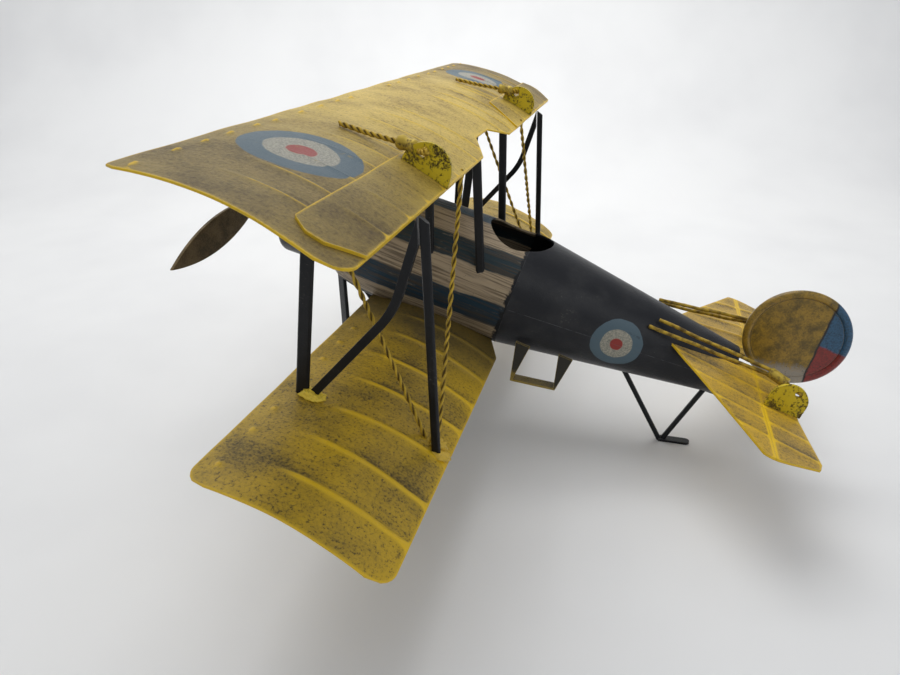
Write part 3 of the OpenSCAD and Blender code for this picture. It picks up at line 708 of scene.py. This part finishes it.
def lower_wing(side, label, dihedral):
    slope = math.tan(math.radians(dihedral))

    def edges(x):
        front = STAGGER + corner(LOWER_SPAN - x, LOWER_TIP_R)
        back = STAGGER + LOWER_CHORD - corner(LOWER_SPAN - x, LOWER_TIP_R)
        return front, min(back, STAGGER + along([(11, 68), (34, 79), (220, 79)], x))

    def top(x, y):
        arc = math.sqrt(LOWER_ARC ** 2 - (y - STAGGER - LOWER_CHORD / 2) ** 2)
        return LOWER_RISE - LOWER_ARC + arc - GAP + x * slope

    def ridge(x, y):
        aft = y - STAGGER
        back = min(1, max(0, (aft - 24) / 50))
        folds = sum(math.exp(-((x - a - (b - a) * back) / 1.9) ** 2) for a, b in LOWER_FOLDS)
        bumps = sum(math.exp(-((x - b) / 2.4) ** 2 - ((aft - 7) / 1.3) ** 2) for b in LOWER_BUMPS)
        return folds * min(1, max(0, (aft - 18) / 16)) * 0.75 + bumps * 0.8

    sheet(f"lower_wing_sheet_{label}", spread(17.0, LOWER_SPAN, 1.1), 60, edges, top, SHEET,
          lower_paint, (f"lower_wing_{label}",), ridge, side, LOWER_SKEW)


lower_wing(1, "port", PORT_DIHEDRAL)
lower_wing(-1, "starboard", STARBOARD_DIHEDRAL)
print("lower wing folds", len(LOWER_FOLDS))

# %% [markdown]
# ## Ailerons
# The ailerons are separate plates soldered on top of the wing. They use the sheet helper with
# their own outline, given as two broken lines of points: the front edge and the back edge.


# %% Ailerons
def outline(front, back):
    return lambda x: (along(front, x), along(back, x))


SIDES = ((1, "port"), (-1, "starboard"))
AILERON_LIFT, AILERON_SHEET = 0.95, 1.5
aileron_edges = outline([(56, 80.7), (71, 58), (193, 58), (198, 64)],
                        [(56, 81.1), (190.5, 81.1), (198, 70)])


def aileron_ridge(x, y):
    ribs = sum(math.exp(-((x - rib) / 1.0) ** 2) for rib in (84, 107, 128, 150, 172))
    return ribs * 0.42 * min(1, max(0, (y - 61) / 6))


for side, label in SIDES:
    sheet(f"aileron_plate_{label}", spread(56.4, 198, 1.2, 8), 24, aileron_edges,
          lambda x, y: upper_top(x, y) + AILERON_LIFT, AILERON_SHEET, upper_paint,
          (f"aileron_{label}",), aileron_ridge, side)

# %% [markdown]
# ## Tail surfaces
# The tailplane and the elevators are flat plates with the same pressed ridges. The crease where
# they meet is rolled up into a fold, which both plates share.

# %% Tail surfaces
TAIL_TOP, HINGE, TAIL_SHEET = -59.9, 250.5, 1.1
stabiliser_edges = outline([(6, 200), (14, 203), (92, 245.5), (93, 249)], [(6, HINGE), (93, HINGE)])
elevator_edges = outline([(4, HINGE), (93, HINGE)], [
    (4, 258), (12, 262), (24, 268), (48, 268), (83, 272.5), (88, 271), (92, 257), (93, 252)])


def tail_ridge(x, y):
    ribs = sum(math.exp(-((x - rib - 0.25 * (y - 250)) / 1.5) ** 2)
               for rib in (16, 32, 47, 62, 77))
    fold = 0.9 * math.exp(-((y - HINGE) / 1.1) ** 2) if x > 50 else 0
    return ribs * 0.5 + fold


for side, label in SIDES:
    sheet(f"stabiliser_plate_{label}", spread(6.2, 93, 1.0, 4), 40, stabiliser_edges,
          lambda x, y: TAIL_TOP, TAIL_SHEET, tail_paint, (f"stabiliser_{label}",),
          tail_ridge, side)
    sheet(f"elevator_plate_{label}", spread(4.2, 93, 1.0, 6), 24, elevator_edges,
          lambda x, y: TAIL_TOP, TAIL_SHEET, tail_paint, (f"elevator_{label}",),
          tail_ridge, side)
print("plates made", len(made_pieces))

# %% [markdown]
# ## Wires
# A tube is a ring of points carried along a path. Two tubes on helices round one line make a
# twisted wire. A curve object with a bevel would do as well, but only a mesh can carry the
# proud attribute that paints shade into the groove and a highlight on the twist.


# %% Tube and twisted wire helpers
def tube_rings(path, radius, sides, first=0):
    """Points and faces of a closed tube along a path, numbered from first."""
    points, faces, normal = [], [], None
    radii = radius if isinstance(radius, list) else [radius] * len(path)
    for k, here in enumerate(path):
        run = (path[min(k + 1, len(path) - 1)] - path[max(k - 1, 0)]).normalized()
        if normal is None:
            normal = run.orthogonal().normalized()
        normal = (normal - run * normal.dot(run)).normalized()
        other = run.cross(normal)
        for s in range(sides):
            turn_by = 2 * math.pi * s / sides
            way = normal * math.cos(turn_by) + other * math.sin(turn_by)
            points.append(here + way * radii[k])
    for k in range(len(path) - 1):
        for s in range(sides):
            a, b = first + k * sides + s, first + k * sides + (s + 1) % sides
            faces.append((a, b, b + sides, a + sides))
    faces.append(tuple(first + s for s in reversed(range(sides))))
    faces.append(tuple(first + (len(path) - 1) * sides + s for s in range(sides)))
    return points, faces


def twisted(name, path, strand, lay, replaced=(), sides=7):
    """Two strands of that radius twisted round a path, one full turn every lay millimetres."""
    line, offset = [Vector(p) for p in path], strand * 0.92
    lengths = [0.0]
    for a, b in zip(line, line[1:]):
        lengths.append(lengths[-1] + (b - a).length)
    steps = int(lengths[-1] / lay * 14)
    points, faces, proud = [], [], []
    for half_turn in (0.0, 0.5):
        route, centres = [], []
        for k in range(steps + 1):
            far = lengths[-1] * k / steps
            leg = max(i for i in range(len(line) - 1) if lengths[i] <= far + 1e-6)
            run = (line[leg + 1] - line[leg]).normalized()
            centre = line[leg] + run * (far - lengths[leg])
            first_way = run.orthogonal().normalized()
            wave = noise.noise(centre * 0.06) * 1.2
            turned = 2 * math.pi * (far / lay + half_turn) + wave
            way = first_way * math.cos(turned) + run.cross(first_way) * math.sin(turned)
            route.append(centre + way * offset)
            centres.append(centre)
        ring, skin = tube_rings(route, strand, sides, len(points))
        proud += [min(1, (p - centres[i // sides]).length / (strand + offset))
                  for i, p in enumerate(ring)]
        points += ring
        faces += skin
    return piece(name, points, faces, wire_paint, replaced, {"proud": proud})


print("tube helpers ready")

# %% [markdown]
# ## Braces and aileron cables
# The braces cross between the wings and are soldered at both ends. The aileron cables lie on
# the upper wing, twisted tighter, and run into a crimped ferrule that is looped to the horn.

# %% Braces
BRACE_STRAND, BRACE_LAY = 0.6, 10.5
for side, label in SIDES:
    drop = 0 if side > 0 else -2.2
    twisted(f"brace_inner_wire_{label}", [(side * 74, 79.5, 1.6), (side * 134, 116.8, -98 + drop)],
            BRACE_STRAND, BRACE_LAY, (f"brace_inner_{label}",))
    twisted(f"brace_cross_wire_{label}",
            [(side * 132.5, 27.5, 4.4), (side * 133.5, 114.5, -98 + drop)],
            BRACE_STRAND, BRACE_LAY, (f"brace_cross_{label}",))
    twisted(f"aileron_wire_{label}", [(side * 95, 29, 6.9), (side * 98.2, 44, 8.4),
                                      (side * 100.7, 57.8, 10.3)],
            0.66, 6.8, (f"aileron_cable_{label}",))
    way = Vector((side * 3, 11, 0.6)).normalized()
    crimped = [2.3, 2.9, 3.1, 3.0, 2.6, 2.5, 2.6, 3.0, 3.2, 3.0, 2.3]
    path = [Vector((side * 100.2, 56.2, 10.4)) + way * (0.9 * k) for k in range(len(crimped))]
    points, faces = tube_rings(path, crimped, 18)
    piece(f"aileron_ferrule_{label}", points, faces, ferrule_paint,
          ("aileron_ferrules",))
    hole = Vector((side * 104, 68, 12.2))
    loop = [Vector((side * 101.5, 64, 11.0)), Vector((side * 103.0, 67, 12.3)), hole,
            Vector((side * 106.2, 69.4, 12.6)), Vector((side * 106.8, 70.5, 11.4)),
            Vector((side * 105.6, 67, 11.0)), Vector((side * 102.6, 65.5, 10.8))]
    twisted(f"horn_loop_{label}", loop, 0.62, 4.0)
print("wires done", len(made_pieces))

# %% [markdown]
# ## Solder
# Where struts meet the wing there is a lump of solder, dabbed with yellow. A lump is a sphere
# that noise has pushed in and out, and sunk half into the plate.


# %% Solder lumps
def lumps(name, centres, size, finish, replaced=(), rough_by=0.35, rings=14, sides=20):
    points, faces = [], []
    for number, centre in enumerate(centres):
        first = len(points)
        for r in range(rings + 1):
            up = math.pi * r / rings
            for s in range(sides):
                round_by = 2 * math.pi * s / sides
                way = Vector((math.sin(up) * math.cos(round_by), math.sin(up) * math.sin(round_by),
                              math.cos(up)))
                swell = 1 + rough_by * noise.noise(way * 1.9 + Vector((number * 5, 0, 0)))
                points.append(Vector(centre) + Vector([w * h for w, h in zip(way, size)]) * swell)
        for r in range(rings):
            for s in range(sides):
                a, b = first + r * sides + s, first + r * sides + (s + 1) % sides
                faces.append((a, a + sides, b + sides, b))
    return piece(name, points, faces, finish, replaced)


def on_lower(side, x, y):
    arc = math.sqrt(LOWER_ARC ** 2 - (y - STAGGER - LOWER_CHORD / 2) ** 2)
    slope = math.tan(math.radians(PORT_DIHEDRAL if side > 0 else STARBOARD_DIHEDRAL))
    return (side * x, y, LOWER_RISE - LOWER_ARC + arc - GAP + x * slope + 0.3)


front_feet = [on_lower(side, 140, 60.6) for side in (1, -1)]
rear_feet = [on_lower(side, 138.6, 118.2) for side in (1, -1)]
lumps("front_foot_solder", front_feet, (4.2, 5.6, 2.2), foot_paint,
      ("strut_feet",), rough_by=0.5)
lumps("rear_foot_solder", rear_feet, (4.0, 4.4, 1.5), solder_paint,
      ("strut_feet",))
knots = [on_lower(side, 134.6, 116) for side in (1, -1)]
lumps("wire_knots", [Vector(k) + Vector((0, 0, 1)) for k in knots], (3.0, 3.2, 2.2), solder_paint,
      rough_by=0.7)
print("solder lumps", len(front_feet) + len(rear_feet) + len(knots))


# %% [markdown]
# ## Control rods
# The control rods to the elevators are stiff wires that are nearly straight, with a lumpy coat,
# so their radius changes a little along their length. Two short wires loop each pair to its horn.

# %% Control rods
ROD_STEPS = 60


def wavy_rod(start, end, radius, first, seed):
    start, end = Vector(start), Vector(end)
    path, radii = [], []
    for k in range(ROD_STEPS + 1):
        t = k / ROD_STEPS
        sag = Vector((0, 0, noise.noise(Vector((t * 4, seed, 0))) * 0.5))
        path.append(start.lerp(end, t) + sag)
        radii.append(radius * (1 + 0.22 * noise.noise(Vector((t * 26, seed, 3)))))
    return tube_rings(path, radii, 10, first)


for side, label in SIDES:
    points, faces = [], []
    for seed, (start, end) in enumerate((
            ((side * 14.5, 194, -51.5), (side * 31.2, 252, -47.9)),
            ((side * 18, 190, -55.5), (side * 31.8, 252, -50.2)),
            ((side * 35.5, 258.2, -49.3), (side * 43.6, 262, -48.3)),
            ((side * 35.5, 258.6, -49.6), (side * 46.4, 262.8, -47.6)))):
        ring, skin = wavy_rod(start, end, 0.95, len(points), seed + side)
        points, faces = points + ring, faces + skin
    proud = [0.72 + 0.4 * noise.noise(Vector(p) * 0.45) for p in points]
    piece(f"control_rods_{label}", points, faces, wire_paint,
          (f"elevator_rods_{label}",), {"proud": proud})
print("control rods done")

# %% [markdown]
# ## Finishes for the parts that keep their CAD shape
# A part whose CAD shape is already right only needs paint. Each row of the table gives a
# finish, a slot name and the CAD nodes that take that finish.

# %% Paint the CAD parts
CAD_FINISHES = [
    (stripes, "barrel_stripes", ("barrel",)),
    (cone_paint, "fuselage_black", ("tail_shell_upper", "tail_shell_lower")),
    (cowl_paint, "cowl_black", ("cowl", "nose_bulkhead")),
    (engine_paint, "engine_metal", ("crankcase", "engine_cylinders")),
    (propeller_paint, "propeller_bronze", ("propeller_blades", "propeller_boss")),
    (ferrule_paint, "pin_bronze", ("propeller_pin",)),
    (horn_paint, "ferrule_bronze", ("aileron_horn_port", "aileron_horn_starboard",
                                    "elevator_horns")),
    (ferrule_paint, "ferrule_bronze", ("elevator_ferrules",)),
    (strut_paint, "strut_black", tuple(
        f"{name}_{label}" for label in ("port", "starboard")
        for name in ("cabane_front", "cabane_rear", "strut_front", "strut_diagonal",
                     "strut_rear", "gear_front_leg", "gear_rear_leg")) + (
        "skid_front_leg", "skid_rear_leg", "skid_foot")),
    (steel_paint, "axle_steel", ("axle", "axle_caps")),
    (tyre_paint, "tyre_black", ("tyre_port", "tyre_starboard")),
    (solder_paint, "wheel_yellow", ("wheel_disc_port", "wheel_disc_starboard")),
    (step_paint, "step_bronze", ("footstep",)),
    (fin_paint, "fin_paint", ("fin_disc", "fin_rim")),
]
for finish, slot, nodes in CAD_FINISHES:
    for name in nodes:
        part = frame["nodes"][name]
        part.data.materials.clear()
        part.data.materials.append(finish)
painted = sum(len(nodes) for _, _, nodes in CAD_FINISHES)
print("CAD parts painted", painted, "of", len(frame["nodes"]))

# %% [markdown]
# ## Floor
# The model stands on a white paper sweep in a bright room. The sweep is one curved sheet, so
# floor and wall meet without a line.

# %% Floor
def sweep(depth=1.6, width=3.4, height=1.5, bend=0.35):
    back = Vector((camera_back.x, camera_back.y, 0)).normalized()
    across = Vector((-back.y, back.x, 0))
    angles = [k * math.pi / 32 for k in range(17)]
    profile = [(-0.95, 0.0)] + [
        (depth / 2 - bend + bend * math.sin(a), bend - bend * math.cos(a)) for a in angles]
    profile.append((depth / 2, height))
    points = [tuple(-back * d + across * w * width / 2 + Vector((0, 0, h)))
              for d, h in profile for w in (-1, 1)]
    faces = [(2 * k, 2 * k + 2, 2 * k + 3, 2 * k + 1) for k in range(len(profile) - 1)]
    mesh = bpy.data.meshes.new("paper_sweep")
    mesh.from_pydata(points, [], faces)
    mesh.shade_smooth()
    paper = bpy.data.objects.new("paper_sweep", mesh)
    bpy.context.scene.collection.objects.link(paper)
    material, flight = start_finish("paper")
    smudge = flight.stretch(160, 160, 160).cloud(3)
    colour = smudge.ease(0.3, 0.8).blend((0.80, 0.80, 0.79, 1), (0.74, 0.74, 0.735, 1))
    mesh.materials.append(close_finish(material, colour, 0.55))


sweep()
print("paper laid")

# %% [markdown]
# ## Light
# One large soft lamp overhead and a bright world light leave only a faint shadow. A weak lamp at
# the side stands for a window, and another one lifts the paper behind the model.

# %% Lights
def lamp(name, place, aim, size, power, colour=(1, 1, 1)):
    data = bpy.data.lights.new(name, "AREA")
    data.shape, data.size, data.energy, data.color = "DISK", size, power, colour
    made = bpy.data.objects.new(name, data)
    bpy.context.scene.collection.objects.link(made)
    made.location = place
    made.rotation_mode = "QUATERNION"
    made.rotation_quaternion = (Vector(place) - Vector(aim)).to_track_quat("Z", "Y")


lamp("ceiling_lamp", (-0.25, -0.35, 1.25), (0, 0, 0.08), 1.1, 7.5)
lamp("window_lamp", (0.9, 0.9, 0.8), (0, 0, 0.1), 0.9, 2.4, (0.96, 0.98, 1))
lamp("wall_lamp", (-0.35, -0.05, 0.75), (-0.8, -0.2, 0.25), 0.6, 2.2)
world = bpy.data.worlds.new("room")
world.use_nodes = True
world.node_tree.nodes["Background"].inputs["Color"].default_value = (0.93, 0.95, 1.0, 1)
world.node_tree.nodes["Background"].inputs["Strength"].default_value = 0.50
bpy.context.scene.world = world
print("lights set")
